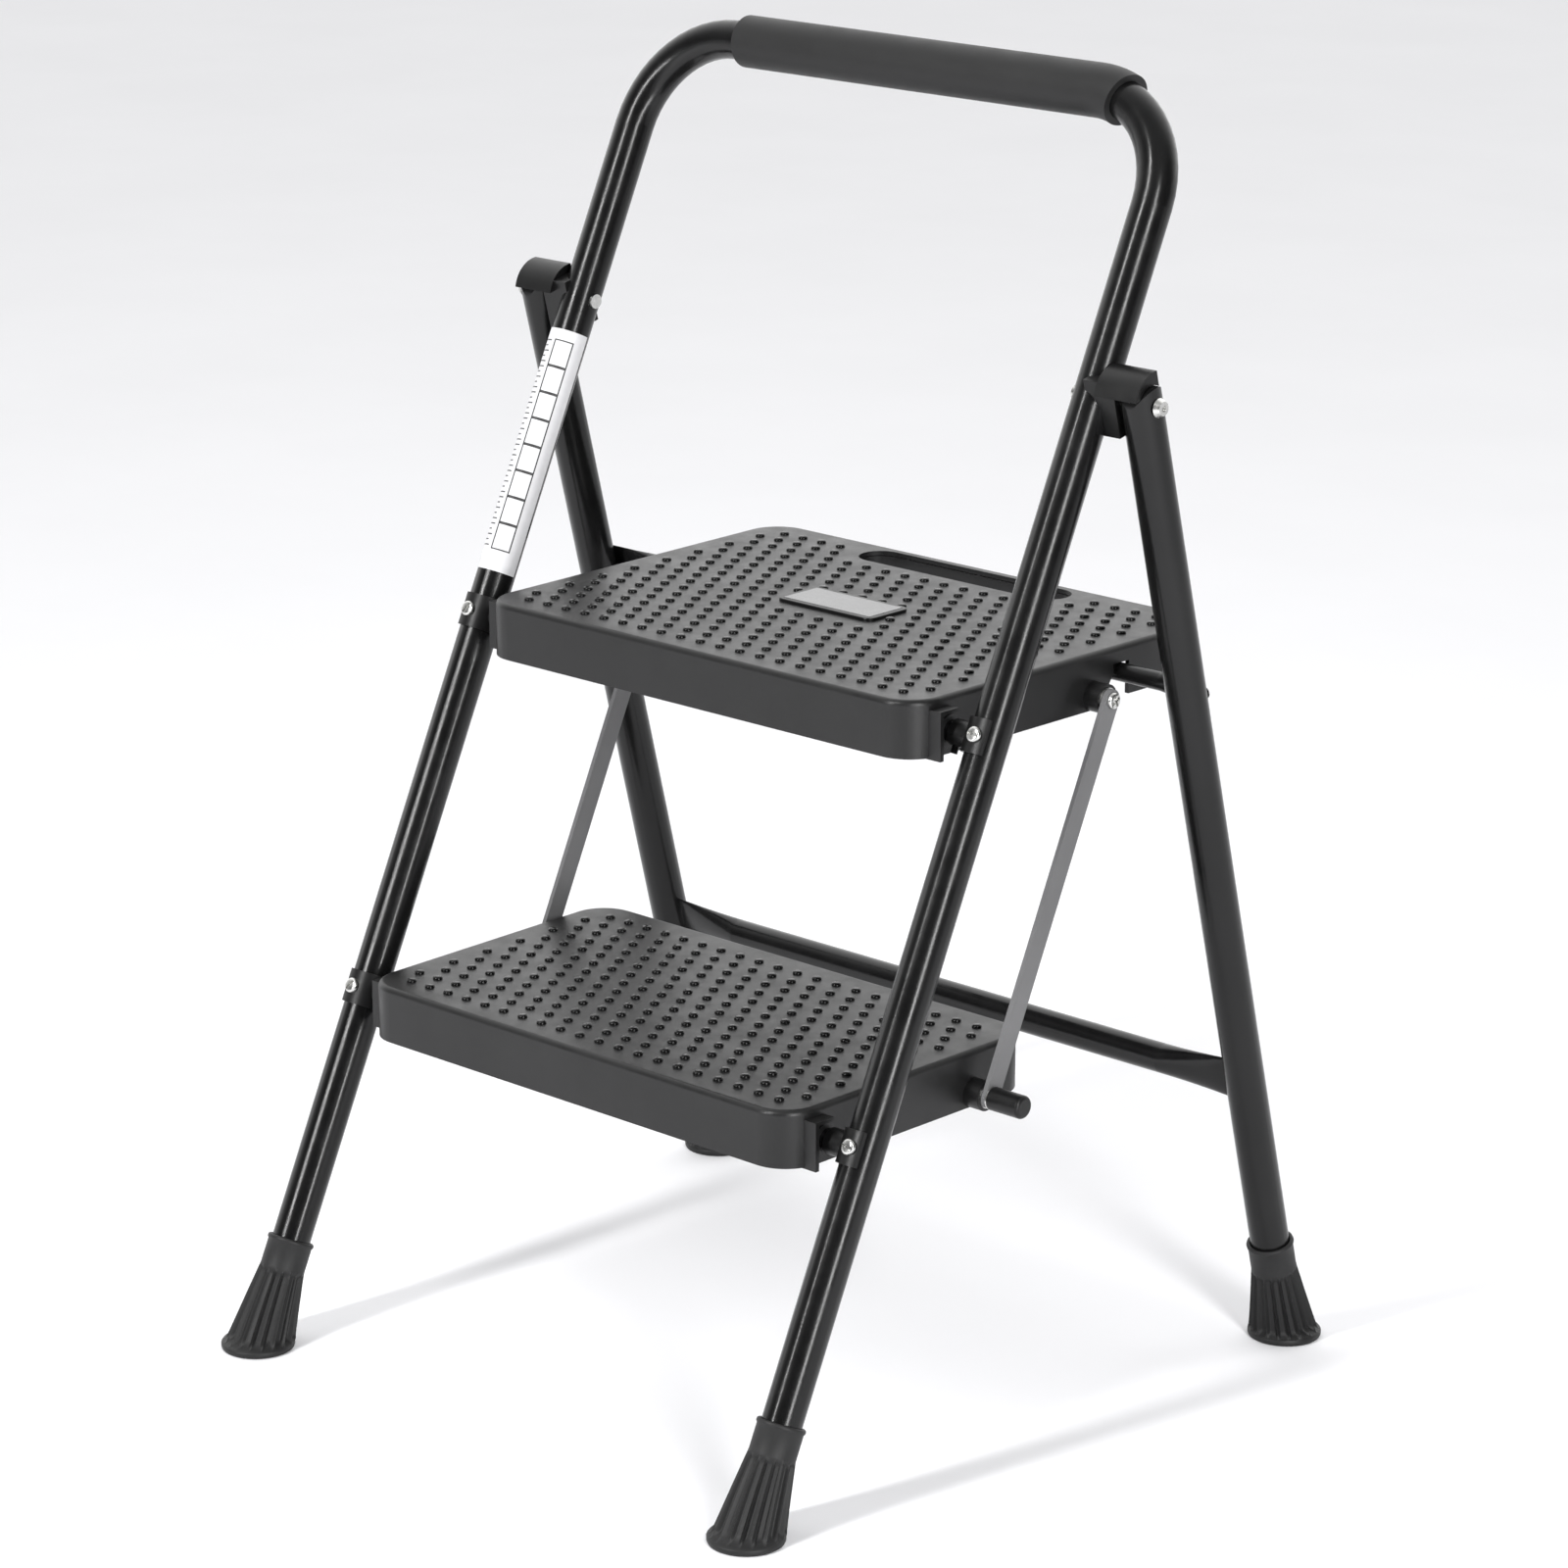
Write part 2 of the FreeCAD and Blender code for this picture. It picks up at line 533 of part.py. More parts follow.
# Rear frame.
def rear_leg(label, side):
    """A straight tube whose top is rounded about the hinge bolt."""
    name = "rear_leg_" + label
    x = both(side, REAR_X)
    length = REAR_LENGTH + " - boot_sole"
    shaft = rod(name + "_shaft", TUBE_R, length, x=x, z="-(%s)" % length)
    crown = rod(name + "_crown", TUBE_R, TUBE_R, x=x)
    start, width = from_x(side, REAR_X + " - " + TUBE_R, REAR_X + " + " + TUBE_R)
    round_end = rod(name + "_round", TUBE_R, width, x=start, **ALONG_X)
    top = overlap(name + "_top", [crown, round_end])
    bore = rod(name + "_bore", TUBE_R + " - tube_wall", length + " + " + TUBE_R + " - 2 * tube_wall",
               x=x, z="-(%s)" % length)
    hole = rod(name + "_hole", "bolt_diameter / 2 + running_gap", "2 * tube_diameter",
               x=both(side, REAR_X) + " - tube_diameter", **ALONG_X)
    rivet = rod(name + "_rivet_hole", "rivet_diameter / 2", "tube_diameter", x=x,
                z="-upper_bar_drop", **ALONG_Y)
    body = cut(name + "_body", join(name + "_outside", [shaft, top]), [bore, hole, rivet])
    node(on_rear_frame(body), name)


def ring(kind, name, x, y, z, **sizes):
    """A flat outline that faces along X."""
    outline = doc.addObject(kind, name)
    bind(outline, **sizes)
    return place(outline, x, y, z, axis=(0, 1, 0), angle="90")


def squeezed_end(name, side, radius, height, thickness, drop, setback, flat_setback, begin, flat, end):
    """A round bar's end pressed flat: round at begin, flat from flat to end."""
    sections = [ring("Part::Circle", name + "_begin", both(side, begin), setback, "-" + drop,
                     Radius=radius),
                ring("Part::Ellipse", name + "_flat", both(side, flat), flat_setback, "-" + drop,
                     MajorRadius=height, MinorRadius=thickness),
                ring("Part::Ellipse", name + "_end", both(side, end), flat_setback, "-" + drop,
                     MajorRadius=height, MinorRadius=thickness)]
    loft = doc.addObject("Part::Loft", name)
    loft.Sections = sections
    loft.Solid = True
    loft.Ruled = True
    return loft


def leg_shadows(name):
    """The rear legs' outsides, to cut what is pressed or welded against them."""
    return [rod(name + "_shadow_" + label, TUBE_R, REAR_LENGTH, x=both(side, REAR_X),
                z="-(%s)" % REAR_LENGTH) for label, side in SIDES]


def upper_crossbar():
    flat = REAR_X + " - " + TUBE_R + " - tab_height / 4"
    begin = flat + " - tab_run"
    pieces = [rod("upper_bar_middle", "upper_bar_diameter / 2", "2 * (%s)" % begin,
                  x="-(%s)" % begin, y="upper_bar_setback", z="-upper_bar_drop", **ALONG_X)]
    cuts = leg_shadows("upper_bar")
    for label, side in SIDES:
        pieces.append(squeezed_end("upper_bar_end_" + label, side, "upper_bar_diameter / 2",
                                   "tab_height / 2", "tab_thickness / 2", "upper_bar_drop",
                                   "upper_bar_setback", TUBE_R + " + tab_thickness / 2 - tab_bite",
                                   begin, flat, REAR_X + " + tab_past_leg"))
        cuts.append(rod("upper_bar_rivet_hole_" + label, "rivet_diameter / 2", "2 * tube_diameter",
                        x=both(side, REAR_X), z="-upper_bar_drop", **ALONG_Y))
    body = cut("upper_bar", join("upper_bar_outside", pieces), cuts)
    node(on_rear_frame(body), "rear_upper_crossbar")


def lower_crossbar():
    flat = REAR_X + " - " + TUBE_R + " - flare_thickness / 2"
    begin = flat + " - flare_run"
    pieces = [rod("lower_bar_middle", "lower_bar_diameter / 2", "2 * (%s)" % begin,
                  x="-(%s)" % begin, z="-lower_bar_drop", **ALONG_X)]
    for label, side in SIDES:
        pieces.append(squeezed_end("lower_bar_end_" + label, side, "lower_bar_diameter / 2",
                                   "flare_height / 2", "flare_thickness / 2", "lower_bar_drop",
                                   "0", "0", begin, flat, flat + " + flare_thickness"))
    body = cut("lower_bar", join("lower_bar_outside", pieces), leg_shadows("lower_bar"))
    node(on_rear_frame(body), "rear_lower_crossbar")


def crossbar_rivets():
    rivets = []
    for label, side in SIDES:
        x = both(side, REAR_X)
        seat = TUBE_R + " + tab_thickness - tab_bite"
        inner = TUBE_R + " - tube_wall - rivet_past_wall"
        shank = rod("rivet_shank_" + label, "rivet_diameter / 2", "%s - (%s)" % (seat, inner),
                    x=x, y=inner, z="-upper_bar_drop", **ALONG_Y)
        head = cone("rivet_head_" + label, "rivet_head_diameter / 2", "rivet_top_diameter / 2",
                    "rivet_head_height", x=x, y=seat, z="-upper_bar_drop", **ALONG_Y)
        rivets.append(join("rivet_" + label, [shank, head]))
    node(on_rear_frame(group("rivet_group", rivets)), "crossbar_rivets")


# Steps.
def plate(name, front_width, rear_width, length, height, corner, edge=None):
    """A flat block with rounded corners whose front edge lies on the X axis."""
    body = doc.addObject("PartDesign::Body", name)
    sketch = body.newObject("Sketcher::SketchObject", name + "_outline")
    ground = [plane for plane in body.Origin.OriginFeatures if plane.Role == "XY_Plane"][0]
    sketch.AttachmentSupport = [(ground, "")]
    sketch.MapMode = "FlatFace"
    # Drawn at any size; the constraints below set the real one.
    half, deep = 100, 100
    points = [FreeCAD.Vector(x, y, 0) for x, y in ((-half, 0), (half, 0), (half, deep), (-half, deep))]
    for start, end in zip(points, points[1:] + points[:1]):
        sketch.addGeometry(Part.LineSegment(start, end))
    for line in range(4):
        sketch.addConstraint(Sketcher.Constraint("Coincident", line, 2, (line + 1) % 4, 1))
    sketch.addConstraint(Sketcher.Constraint("PointOnObject", 0, 1, -1))
    for line in (0, 2):
        sketch.addConstraint(Sketcher.Constraint("Symmetric", line, 1, line, 2, -2))
    measures = ((front_width, "DistanceX", 0, 1, 0, 2, 2 * half),
                (rear_width, "DistanceX", 2, 2, 2, 1, 2 * half),
                (length, "DistanceY", 0, 2, 1, 2, deep))
    for text, *constraint in measures:
        index = sketch.addConstraint(Sketcher.Constraint(*constraint))
        sketch.setExpression("Constraints[%d]" % index, formula(text))
    pad = body.newObject("PartDesign::Pad", name + "_pad")
    pad.Profile = sketch
    bind(pad, Length=height)
    sketch.Visibility = False
    doc.recompute()
    rounds = body.newObject("PartDesign::Fillet", name + "_corners")
    upright = [i for i, e in enumerate(pad.Shape.Edges, start=1)
               if abs(e.Vertexes[0].Z - e.Vertexes[-1].Z) > e.Length / 2]
    rounds.Base = (pad, ["Edge%d" % i for i in upright])
    bind(rounds, Radius=corner)
    if edge:
        doc.recompute()
        top = rounds.Shape.BoundBox.ZMax
        rim = [i for i, e in enumerate(rounds.Shape.Edges, start=1)
               if min(v.Z for v in e.Vertexes) > top - 0.001]
        softened = body.newObject("PartDesign::Fillet", name + "_edge")
        softened.Base = (rounds, ["Edge%d" % i for i in rim])
        bind(softened, Radius=edge)
    return body


def rounded_rod(name, side, radius, near, far, rounding, y="0", z="0"):
    """A rod along X between two distances from the middle, rounded at its outer end."""
    start, length = from_x(side, near, "%s - %s" % (far, rounding))
    body = rod(name + "_body", radius, length, x=start, y=y, z=z, **ALONG_X)
    start, length = from_x(side, near, far)
    core = rod(name + "_core", "%s - %s" % (radius, rounding), length, x=start, y=y, z=z, **ALONG_X)
    rim = doc.addObject("Part::Torus", name + "_rim")
    bind(rim, Radius1="%s - %s" % (radius, rounding), Radius2=rounding)
    place(rim, x=both(side, "%s - %s" % (far, rounding)), y=y, z=z, axis=(0, 1, 0), angle="90")
    return join(name, [body, core, rim])


def slot_shape(name, grow, depth, bottom):
    """The hand slot's outline, grown by a wall."""
    centre = "top_step_reach - slot_from_back - slot_height / 2"
    straight = "slot_width - slot_height"
    radius = "slot_height / 2 + " + grow
    pieces = [box(name + "_middle", straight, "2 * (%s)" % radius, depth,
                  x="-(%s) / 2" % straight, y="%s - (%s)" % (centre, radius), z=bottom)]
    for label, side in SIDES:
        pieces.append(rod(name + "_end_" + label, radius, depth, x=both(side, "(%s) / 2" % straight),
                          y=centre, z=bottom))
    return join(name, pieces)


def hook_notches():
    """What is cut from the top step so that it drops over the crossbar and swings off it."""
    run = "upper_bar_drop * sin(%s) + upper_bar_setback * cos(%s)" % (REAR_LEAN, REAR_LEAN)
    fall = "upper_bar_drop * cos(%s) - upper_bar_setback * sin(%s)" % (REAR_LEAN, REAR_LEAN)
    bar_y = "((hinge_height - upper_pivot_height) * tan(front_lean) + %s)" % run
    bar_z = "(hinge_height - upper_pivot_height - (%s))" % fall
    half = "(upper_bar_diameter / 2 + hook_gap)"
    top = bar_z + " + upper_bar_diameter / 2 + seat_gap"
    across = "-" + FRONT_X
    lowest = SKIRT_BOTTOM + " - skirt_depth"
    throat = box("notch_throat", "front_spread", "2 * " + half, "%s - (%s)" % (top, lowest),
                 x=across, y=bar_y + " - " + half, z=lowest)
    slope = box("notch_slope", "front_spread", "2 * " + half, "2 * skirt_depth", z="-2 * skirt_depth")
    tilted = group("notch_tilted_slope", [slope])
    place(tilted, x=across, y=bar_y + " - " + half, z=bar_z, axis=(1, 0, 0), angle="-hook_relief")
    tip = box("notch_tip", "front_spread", "top_step_reach", "hook_rise + skirt_depth", x=across,
              y=bar_y + " + " + half, z=lowest)
    return [throat, tilted, tip]


def step(name, reach, node_name, level):
    """A hollow moulding with ears at its front, hubs for its axle and bosses for its links."""
    slant = "(step_rear_width - step_front_width) / (step_front_reach + top_step_reach)"
    length = "(step_front_reach + %s)" % reach
    rear_width = "(step_front_width + %s * %s)" % (slant, length)
    outside = plate(name + "_outside", "step_front_width", rear_width, length, "skirt_depth",
                    "step_corner", "step_edge")
    place(outside, y="-step_front_reach", z=SKIRT_BOTTOM)
    shrink = " - 2 * step_wall"
    cavity = plate(name + "_cavity", "step_front_width" + shrink, rear_width + shrink,
                   length + shrink, "skirt_depth", "step_corner - step_wall")
    place(cavity, y="step_wall - step_front_reach", z=SKIRT_BOTTOM + " - step_wall")
    ceiling = "(tread_rise - step_wall)"

    stiffeners = []
    for count in range(1, CROSS_RIBS + 1):
        stiffeners.append(box("%s_cross_rib_%d" % (name, count), "step_rear_width", "rib_thickness",
                              "rib_depth + step_wall / 2", x="-step_rear_width / 2",
                              y="%s * %d / %d - step_front_reach - rib_thickness / 2"
                              % (length, count, CROSS_RIBS + 1),
                              z=ceiling + " - rib_depth"))
    for count in range(1, LONG_RIBS + 1):
        stiffeners.append(box("%s_long_rib_%d" % (name, count), "rib_thickness", length,
                              "rib_depth + step_wall / 2",
                              x="step_front_width * (%d / %d - 1 / 2) - rib_thickness / 2"
                              % (count, LONG_RIBS + 1),
                              y="-step_front_reach", z=ceiling + " - rib_depth"))
    hubs = []
    bores = [rod(name + "_axle_bore", "axle_diameter / 2 + running_gap", "front_spread",
                 x="-" + FRONT_X, **ALONG_X)]
    skirt_at_link = "(step_front_width + %s * (step_front_reach + link_reach)) / 2" % slant
    skirt_at_axle = "(step_front_width + %s * step_front_reach) / 2" % slant
    pivot = "link_screw_diameter" if level == "upper" else "rod_diameter"
    bores.append(rod(name + "_link_bore", pivot + " / 2 + hole_gap", "2 * right_link_plane",
                     x="-right_link_plane", y="link_reach", z="-link_drop", **ALONG_X))
    for label, side in SIDES:
        hub_end = skirt_at_axle + " + hub_stand_out"
        start, wide = from_x(side, hub_end + " - hub_length", hub_end)
        hubs.append(rod("%s_hub_%s" % (name, label), "hub_diameter / 2", wide, x=start, **ALONG_X))
        for count, inward in enumerate(("hub_length", "hub_length / 2")):
            start, wide = from_x(side, "%s - %s" % (hub_end, inward),
                                 "%s - %s + rib_thickness" % (hub_end, inward))
            stiffeners.append(box("%s_hub_web_%s_%d" % (name, label, count), wide,
                                  "step_front_reach + hub_diameter / 2",
                                  ceiling + " + hub_diameter / 2 + step_wall / 2",
                                  x=start, y="-step_front_reach", z="-hub_diameter / 2"))
        start, wide = from_x(side, skirt_at_link + " - 2 * step_wall",
                             label + "_link_plane - link_gap - link_washer_thickness")
        hubs.append(rod("%s_boss_%s" % (name, label), "link_boss_diameter / 2", wide, x=start,
                        y="link_reach", z="-link_drop", **ALONG_X))
        ear_root = "step_front_width / 2 - step_corner / 2"
        start, wide = from_x(side, ear_root, "ear_end")
        ear_top = "tread_rise - ear_top_gap"
        hubs.append(box("%s_ear_face_%s" % (name, label), wide, "rib_thickness",
                        ear_top + " + ear_drop", x=start, y="-ear_front", z="-ear_drop"))
        hubs.append(box("%s_ear_roof_%s" % (name, label), wide, "ear_depth", "rib_thickness",
                        x=start, y="-ear_front", z=ear_top + " - rib_thickness"))
        start, wide = from_x(side, "ear_end - rib_thickness", "ear_end")
        hubs.append(box("%s_ear_edge_%s" % (name, label), wide, "ear_lip",
                        ear_top + " + ear_drop", x=start, y="-ear_front", z="-ear_drop"))
    cuts = list(bores)
    if level == "upper":
        stiffeners.append(slot_shape(name + "_slot_rim", "step_wall", "slot_rim_depth",
                                     "tread_rise - slot_rim_depth - step_edge"))
        cuts.append(slot_shape(name + "_slot", "0", "2 * skirt_depth", "-skirt_depth"))
        cuts.extend(hook_notches())
    inside = overlap(name + "_inside", [join(name + "_stiffeners", stiffeners), outside])
    shell = cut(name + "_shell", outside, [cavity])
    moulding = cut(name, join(name + "_moulding", [shell, inside] + hubs), cuts)
    height = level + "_pivot_height"
    node(on_axle(moulding, height), node_name)


def badge():
    plain = plate("badge", "badge_width", "badge_width", "badge_depth", "badge_height",
                  "badge_corner", "badge_height / 3")
    place(plain, x="badge_shift", y="badge_from_axle - badge_depth / 2", z="tread_rise")
    node(on_axle(group("badge_piece", [plain]), "upper_pivot_height"), "tread_badge")


def washer(name, side, near, bore):
    start, wide = from_x(side, near, near + " + link_washer_thickness")
    disc = rod(name + "_disc", "link_washer_diameter / 2", wide, x=start, y="link_reach",
               z="-link_drop", **ALONG_X)
    eye = rod(name + "_eye", bore + " / 2 + hole_gap", wide, x=start, y="link_reach",
              z="-link_drop", **ALONG_X)
    return cut(name, disc, [eye])


def link_fasteners():
    """Screws and washers of the upper ends, rod, caps and washers of the lower ends."""
    screws = []
    upper = []
    lower = []
    for label, side in SIDES:
        inner_face = label + "_link_plane - link_gap - link_washer_thickness"
        outer_face = label + "_link_plane + link_thickness + link_gap"
        start, wide = from_x(side, outer_face + " - link_screw_length", outer_face)
        shank = rod("link_shank_" + label, "link_screw_diameter / 2", wide, x=start,
                    y="link_reach", z="-link_drop", **ALONG_X)
        head = rounded_rod("link_head_" + label, side, "link_head_diameter / 2", outer_face,
                           outer_face + " + link_head_height", "link_head_height / 2",
                           y="link_reach", z="-link_drop")
        screws.append(join("link_screw_" + label, [shank, head]))
        upper.append(washer("upper_washer_" + label, side, inner_face, "link_screw_diameter"))
        lower.append(washer("lower_washer_in_" + label, side, inner_face, "rod_diameter"))
        lower.append(washer("lower_washer_out_" + label, side, outer_face, "rod_diameter"))
        cap = rounded_rod("cap_blank_" + label, side, "cap_diameter / 2",
                          outer_face + " + link_washer_thickness", "cap_end", "cap_round",
                          y="link_reach", z="-link_drop")
        start, wide = from_x(side, label + "_link_plane", "cap_end - rod_bury")
        bore = rod("cap_bore_" + label, "rod_diameter / 2", wide, x=start, y="link_reach",
                   z="-link_drop", **ALONG_X)
        node(on_axle(cut("cap_" + label, cap, [bore]), "lower_pivot_height"), "rod_cap_" + label)
    half = "cap_end - rod_bury"
    bar = rod("rod", "rod_diameter / 2", "2 * (%s)" % half, x="-(%s)" % half, y="link_reach",
              z="-link_drop", **ALONG_X)
    node(on_axle(group("rod_piece", [bar]), "lower_pivot_height"), "link_rod")
    node(on_axle(group("link_screw_group", screws), "upper_pivot_height"), "link_screws")
    node(on_axle(group("upper_washer_group", upper), "upper_pivot_height"), "upper_link_washers")
    node(on_axle(group("lower_washer_group", lower), "lower_pivot_height"), "lower_link_washers")


def link_bar(label, side):
    """A flat bar with rounded ends, parallel to the front legs."""
    name = "link_" + label
    start, wide = from_x(side, label + "_link_plane", label + "_link_plane + link_thickness")
    pieces = [box(name + "_flat", wide, "link_width", LINK_LENGTH, x=start, y="-link_width / 2",
                  z="-(%s)" % LINK_LENGTH)]
    cuts = []
    for end, z, bore in (("top", "0", "link_screw_diameter / 2 + hole_gap"),
                         ("bottom", "-(%s)" % LINK_LENGTH, "rod_diameter / 2 + open_pivot_gap")):
        pieces.append(rod("%s_%s" % (name, end), "link_width / 2", wide, x=start, z=z, **ALONG_X))
        cuts.append(rod("%s_%s_bore" % (name, end), bore, wide, x=start, z=z, **ALONG_X))
    node(on_link(cut(name, join(name + "_blank", pieces), cuts)), "link_bar_" + label)


front_tube()
grip()
for label, side in SIDES:
    boot("front_boot_" + label, both(side, FRONT_X), "-" + HALF_DEPTH, "-" + FRONT_LEAN)
    boot("rear_boot_" + label, both(side, REAR_X), HALF_DEPTH, REAR_LEAN)
    hinge_bracket(label, side)
    rear_leg(label, side)
    link_bar(label, side)
    for level, along in (("upper", UPPER_ALONG), ("lower", LOWER_ALONG)):
        pivot_saddle(level, along, label, side)
hinge_fasteners()
pivot_axle("upper", UPPER_ALONG)
pivot_axle("lower", LOWER_ALONG)
pivot_screws()
leg_label()
upper_crossbar()
lower_crossbar()
crossbar_rivets()
step("top_step", "top_step_reach", "top_tread", "upper")
step("lower_step", "lower_step_reach", "lower_tread", "lower")
badge()
link_fasteners()

doc.recompute()
for thing in doc.Objects:
    if "Invalid" in thing.State or "Error" in thing.State:
        raise RuntimeError("%s did not build: %s" % (thing.Name, thing.State))
os.makedirs("parts", exist_ok=True)
for piece in nodes:
    if piece.Shape.isNull() or not piece.Shape.isValid() or not piece.Shape.Solids:
        raise RuntimeError("%s has no sound shape" % piece.Label)
    piece.Shape.exportStep("parts/%s.step" % piece.Label)
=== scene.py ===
import json
import math

import bpy
from mathutils import Matrix, Vector


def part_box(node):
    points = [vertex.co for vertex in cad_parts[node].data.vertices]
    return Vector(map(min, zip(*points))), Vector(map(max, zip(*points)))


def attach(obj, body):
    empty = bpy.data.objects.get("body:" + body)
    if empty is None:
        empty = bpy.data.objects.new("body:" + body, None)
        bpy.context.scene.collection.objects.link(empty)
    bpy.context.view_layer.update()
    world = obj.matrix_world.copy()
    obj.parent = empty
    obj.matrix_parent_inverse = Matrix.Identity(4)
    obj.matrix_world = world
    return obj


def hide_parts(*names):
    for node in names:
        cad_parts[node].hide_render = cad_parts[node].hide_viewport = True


MM = 0.001
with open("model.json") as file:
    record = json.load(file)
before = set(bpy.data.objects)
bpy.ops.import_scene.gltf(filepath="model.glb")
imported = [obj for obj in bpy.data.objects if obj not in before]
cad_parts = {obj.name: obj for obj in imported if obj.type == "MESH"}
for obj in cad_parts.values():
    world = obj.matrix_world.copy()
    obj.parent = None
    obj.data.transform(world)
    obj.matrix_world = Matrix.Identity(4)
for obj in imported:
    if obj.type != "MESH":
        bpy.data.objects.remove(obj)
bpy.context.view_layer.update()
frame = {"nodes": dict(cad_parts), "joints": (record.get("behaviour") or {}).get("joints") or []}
JOINTS = {joint["name"]: joint for joint in frame["joints"]}
SIDES = (("left", -1), ("right", 1))


# ---------------------------------------------------------------- materials
class Shader:
    """A node material built around one Principled BSDF."""

    def __init__(self, name):
        self.material = bpy.data.materials.new(name)
        self.material.use_nodes = True
        self.tree = self.material.node_tree
        self.tree.nodes.clear()
        self.out = self.node("ShaderNodeOutputMaterial")
        self.bsdf = self.node("ShaderNodeBsdfPrincipled")
        self.link(self.bsdf, "BSDF", self.out, "Surface")
        self.place = self.node("ShaderNodeTexCoord")

    def node(self, kind, **settings):
        made = self.tree.nodes.new(kind)
        for key, value in settings.items():
            setattr(made, key, value)
        return made

    def link(self, source, output, target, socket):
        self.tree.links.new(source.outputs[output], target.inputs[socket])

    def set(self, **values):
        for key, value in values.items():
            self.bsdf.inputs[key.replace("_", " ")].default_value = value
        return self

    def noise(self, scale, detail=4.0, rough=0.55):
        made = self.node("ShaderNodeTexNoise")
        made.inputs["Scale"].default_value = scale
        made.inputs["Detail"].default_value = detail
        made.inputs["Roughness"].default_value = rough
        self.link(self.place, "Object", made, "Vector")
        return made

    def spread(self, source, output, low, high, start=0.3, end=0.7):
        """Maps a 0..1 texture to a range of values."""
        made = self.node("ShaderNodeMapRange")
        for key, value in (("From Min", start), ("From Max", end), ("To Min", low), ("To Max", high)):
            made.inputs[key].default_value = value
        self.link(source, output, made, "Value")
        return made

    def tint(self, source, low, high, start=0.3, end=0.7):
        """Maps a 0..1 texture to a colour between two."""
        made = self.node("ShaderNodeValToRGB")
        made.color_ramp.elements[0].position = start
        made.color_ramp.elements[0].color = (*low, 1)
        made.color_ramp.elements[1].position = end
        made.color_ramp.elements[1].color = (*high, 1)
        self.link(source, "Fac", made, "Fac")
        self.link(made, "Color", self.bsdf, "Base Color")

    def bump(self, layers):
        """Stacks bump layers: (texture, output, strength, distance)."""
        last = None
        for texture, output, strength, distance in layers:
            made = self.node("ShaderNodeBump")
            made.inputs["Strength"].default_value = strength
            made.inputs["Distance"].default_value = distance
            self.link(texture, output, made, "Height")
            if last:
                self.link(last, "Normal", made, "Normal")
            last = made
        self.link(last, "Normal", self.bsdf, "Normal")
        return self


def grey(value):
    return (value, value, value * 1.02)


def powder_coat(name, dark, light, rough, specular):
    """Sprayed paint: a fine orange peel and faint handling marks."""
    made = Shader(name)
    clouds = made.noise(scale=14.0, detail=5.0)
    made.tint(clouds, grey(dark), grey(light))
    marks = made.noise(scale=60.0, detail=6.0, rough=0.65)
    made.link(made.spread(marks, "Fac", rough - 0.04, rough + 0.07), "Result", made.bsdf, "Roughness")
    made.set(Specular_IOR_Level=specular)
    peel = made.noise(scale=900.0, detail=2.0)
    return made.bump([(peel, "Fac", 0.10, 0.0003), (clouds, "Fac", 0.02, 0.0006)]).material


def moulded(name, dark, light, rough, grain, specular):
    """Moulded plastic with a fine spark-eroded grain."""
    made = Shader(name)
    clouds = made.noise(scale=9.0, detail=5.0)
    made.tint(clouds, grey(dark), grey(light))
    scuffs = made.noise(scale=45.0, detail=7.0, rough=0.7)
    made.link(made.spread(scuffs, "Fac", rough - 0.05, rough + 0.08), "Result", made.bsdf, "Roughness")
    made.set(Specular_IOR_Level=specular)
    pits = made.noise(scale=1400.0, detail=3.0, rough=0.6)
    return made.bump([(pits, "Fac", grain, 0.0003)]).material


def rubber(name, dark, light, rough):
    """Matt rubber with a little dust."""
    made = Shader(name)
    dust = made.noise(scale=30.0, detail=6.0, rough=0.65)
    made.tint(dust, grey(dark), grey(light), start=0.35, end=0.75)
    made.link(made.spread(dust, "Fac", rough, rough + 0.12), "Result", made.bsdf, "Roughness")
    made.set(Specular_IOR_Level=0.35)
    skin = made.noise(scale=700.0, detail=3.0)
    return made.bump([(skin, "Fac", 0.15, 0.0003)]).material


def plated(name):
    """Bright zinc with fine turning marks."""
    made = Shader(name)
    clouds = made.noise(scale=160.0, detail=4.0)
    made.tint(clouds, (0.50, 0.50, 0.49), (0.72, 0.72, 0.70))
    made.link(made.spread(clouds, "Fac", 0.18, 0.34), "Result", made.bsdf, "Roughness")
    made.set(Metallic=1.0)
    marks = made.noise(scale=1800.0, detail=3.0)
    return made.bump([(marks, "Fac", 0.12, 0.0002)]).material


def printed(name, value, rough):
    """Printed film or its ink, nearly even in colour."""
    made = Shader(name)
    fibres = made.noise(scale=220.0, detail=4.0)
    made.tint(fibres, grey(value * 0.95), grey(value))
    made.link(made.spread(fibres, "Fac", rough, rough + 0.1), "Result", made.bsdf, "Roughness")
    return made.bump([(fibres, "Fac", 0.05, 0.0002)]).material


PAINT = powder_coat("frame_powder_coat", dark=0.004, light=0.007, rough=0.20, specular=0.30)
LINK_PAINT = powder_coat("link_powder_coat", dark=0.115, light=0.145, rough=0.42, specular=0.4)
STEP = moulded("step_plastic", dark=0.006, light=0.010, rough=0.36, grain=0.22, specular=0.35)
# The stud plastic is a darker copy of the step plastic: painted shade, so the studs look as dark as
# they do in shade.
STUD = moulded("stud_plastic_painted_shade", dark=0.002, light=0.004, rough=0.24, grain=0.10, specular=0.22)
FITTING = moulded("fitting_plastic", dark=0.004, light=0.007, rough=0.34, grain=0.18, specular=0.30)
BADGE = moulded("badge_plastic", dark=0.110, light=0.135, rough=0.20, grain=0.06, specular=0.6)
BOOT = rubber("boot_rubber", dark=0.009, light=0.014, rough=0.48)
GRIP = rubber("grip_rubber", dark=0.008, light=0.012, rough=0.46)
ZINC = plated("zinc_plate")
PAPER = printed("label_film", value=0.64, rough=0.45)
INK = printed("label_ink", value=0.02, rough=0.45)

